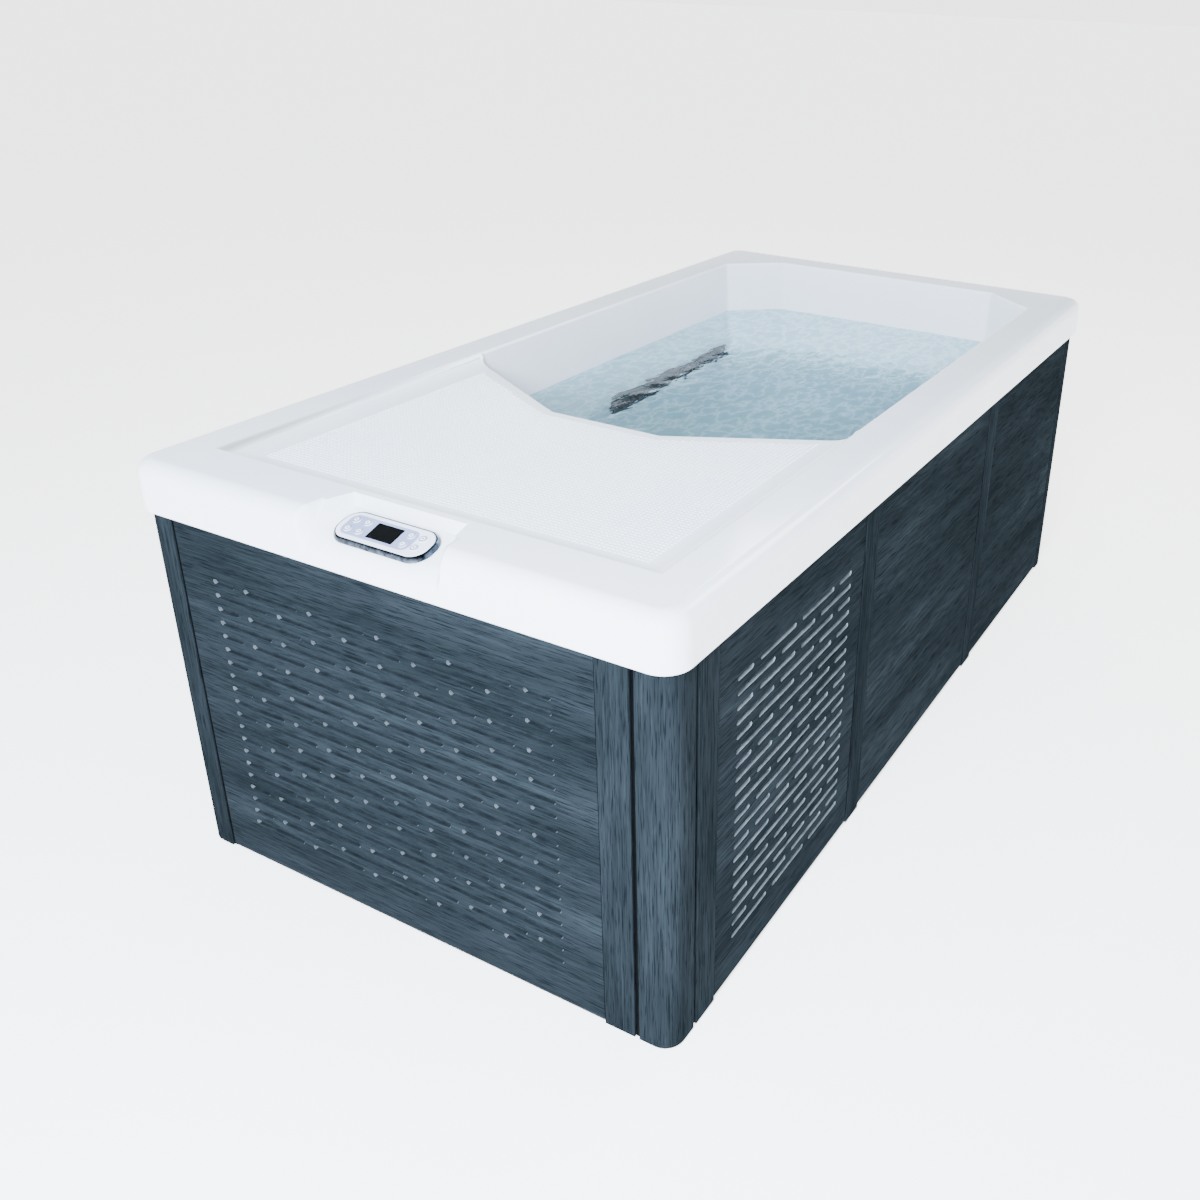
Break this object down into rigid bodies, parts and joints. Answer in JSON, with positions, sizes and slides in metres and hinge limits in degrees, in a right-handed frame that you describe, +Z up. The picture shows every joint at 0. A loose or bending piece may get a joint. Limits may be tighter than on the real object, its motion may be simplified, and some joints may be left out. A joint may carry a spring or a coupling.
{
  "type": "cold plunge tub",
  "caption": "Free-standing cold plunge tub: white moulded shell with octagonal well, step deck and rim control panel, in a slotted wood-grain skirt that hides its chiller and pump.",
  "frame": {"origin": "centre of the base pan's underside, on the floor", "axes": "+X to the right of someone standing at the control end and facing the tub, +Y from the control end to the far end, +Z up"},
  "size_m": [1.04, 2, 0.76],
  "materials": {
    "white_acrylic": "gloss moulded acrylic",
    "woodgrain_skirt": "matt embossed wood grain, slate blue-grey",
    "galvanised_steel": "galvanised",
    "base_plastic": "matt black plastic",
    "support_foam": "rigid insulation foam",
    "chrome_trim": "bright plated",
    "white_plastic": "satin white plastic",
    "black_glass": "gloss black display window",
    "button_plastic": "satin lavender-grey keys",
    "slate_plastic": "satin dark grey plastic",
    "aluminium_fins": "bare fin stock",
    "black_paint": "satin black paint",
    "pale_pvc": "satin pale grey pipe plastic",
    "copper_tube": "bright copper tube",
    "pleated_paper": "white pleated filter medium",
    "red_plastic": "red dipped handle"
  },
  "bodies": {
    "tub": {"tub_shell": "white_acrylic", "front_panel": "woodgrain_skirt", "front_stile": "woodgrain_skirt", "rear_panel": "woodgrain_skirt", "rear_stile": "woodgrain_skirt", "right_front_panel": "woodgrain_skirt", "right_front_stile": "woodgrain_skirt", "right_middle_panel": "woodgrain_skirt", "right_middle_stile": "woodgrain_skirt", "right_rear_panel": "woodgrain_skirt", "right_rear_stile": "woodgrain_skirt", "left_front_panel": "woodgrain_skirt", "left_front_stile": "woodgrain_skirt", "left_middle_panel": "woodgrain_skirt", "left_middle_stile": "woodgrain_skirt", "left_rear_panel": "woodgrain_skirt", "left_rear_stile": "woodgrain_skirt", "front_right_post": "woodgrain_skirt", "rear_right_post": "woodgrain_skirt", "rear_left_post": "woodgrain_skirt", "front_left_post": "woodgrain_skirt", "steel_frame": "galvanised_steel", "base_pan": "base_plastic", "well_cradle": "support_foam", "control_bezel": "chrome_trim", "control_face": "white_plastic", "control_display": "black_glass", "suction_grille": "slate_plastic", "suction_box": "slate_plastic", "return_fitting": "white_plastic", "floor_drain": "chrome_trim", "condenser_coil": "aluminium_fins", "fan_shroud": "galvanised_steel", "fan_motor": "black_paint", "compressor": "black_paint", "heat_exchanger": "pale_pvc", "discharge_line": "copper_tube", "suction_line": "copper_tube", "liquid_line": "copper_tube", "circulation_pump": "black_paint", "filter_housing": "slate_plastic", "filter_cap": "slate_plastic", "filter_cartridge": "pleated_paper", "suction_pipe": "pale_pvc", "filter_pipe": "pale_pvc", "chiller_pipe": "pale_pvc", "return_pipe": "pale_pvc", "control_box": "white_plastic", "drain_valve": "pale_pvc", "power_gland": "base_plastic"},
    "press_1": {"button_1": "button_plastic"},
    "press_2": {"button_2": "button_plastic"},
    "press_3": {"button_3": "button_plastic"},
    "press_4": {"button_4": "button_plastic"},
    "press_5": {"button_5": "button_plastic"},
    "press_6": {"button_6": "button_plastic"},
    "press_7": {"button_7": "button_plastic"},
    "press_8": {"button_8": "button_plastic"},
    "fan": {"fan_rotor": "slate_plastic"},
    "lever": {"drain_valve_lever": "red_plastic"}
  },
  "joints": [
    {"name": "button_1_press", "type": "slide", "parent": "tub", "child": "press_1", "axis": [0, 0.2924, -0.9563], "range_m": [0, 0.0008], "stiffness_N_per_m": 2200, "springref_m": -0.0006},
    {"name": "button_2_press", "type": "slide", "parent": "tub", "child": "press_2", "axis": [0, 0.2924, -0.9563], "range_m": [0, 0.0008], "stiffness_N_per_m": 2200, "springref_m": -0.0006},
    {"name": "button_3_press", "type": "slide", "parent": "tub", "child": "press_3", "axis": [0, 0.2924, -0.9563], "range_m": [0, 0.0008], "stiffness_N_per_m": 2200, "springref_m": -0.0006},
    {"name": "button_4_press", "type": "slide", "parent": "tub", "child": "press_4", "axis": [0, 0.2924, -0.9563], "range_m": [0, 0.0008], "stiffness_N_per_m": 2200, "springref_m": -0.0006},
    {"name": "button_5_press", "type": "slide", "parent": "tub", "child": "press_5", "axis": [0, 0.2924, -0.9563], "range_m": [0, 0.0008], "stiffness_N_per_m": 2200, "springref_m": -0.0006},
    {"name": "button_6_press", "type": "slide", "parent": "tub", "child": "press_6", "axis": [0, 0.2924, -0.9563], "range_m": [0, 0.0008], "stiffness_N_per_m": 2200, "springref_m": -0.0006},
    {"name": "button_7_press", "type": "slide", "parent": "tub", "child": "press_7", "axis": [0, 0.2924, -0.9563], "range_m": [0, 0.0008], "stiffness_N_per_m": 2200, "springref_m": -0.0006},
    {"name": "button_8_press", "type": "slide", "parent": "tub", "child": "press_8", "axis": [0, 0.2924, -0.9563], "range_m": [0, 0.0008], "stiffness_N_per_m": 2200, "springref_m": -0.0006},
    {"name": "fan_spin", "type": "hinge", "parent": "tub", "child": "fan", "pos_m": [0.39, -0.614, 0.3023], "axis": [1, 0, 0], "continuous": true},
    {"name": "drain_lever_turn", "type": "hinge", "parent": "tub", "child": "lever", "pos_m": [0, -0.494, 0.0956], "axis": [0, 0, 1], "range_deg": [0, 90]}
  ]
}
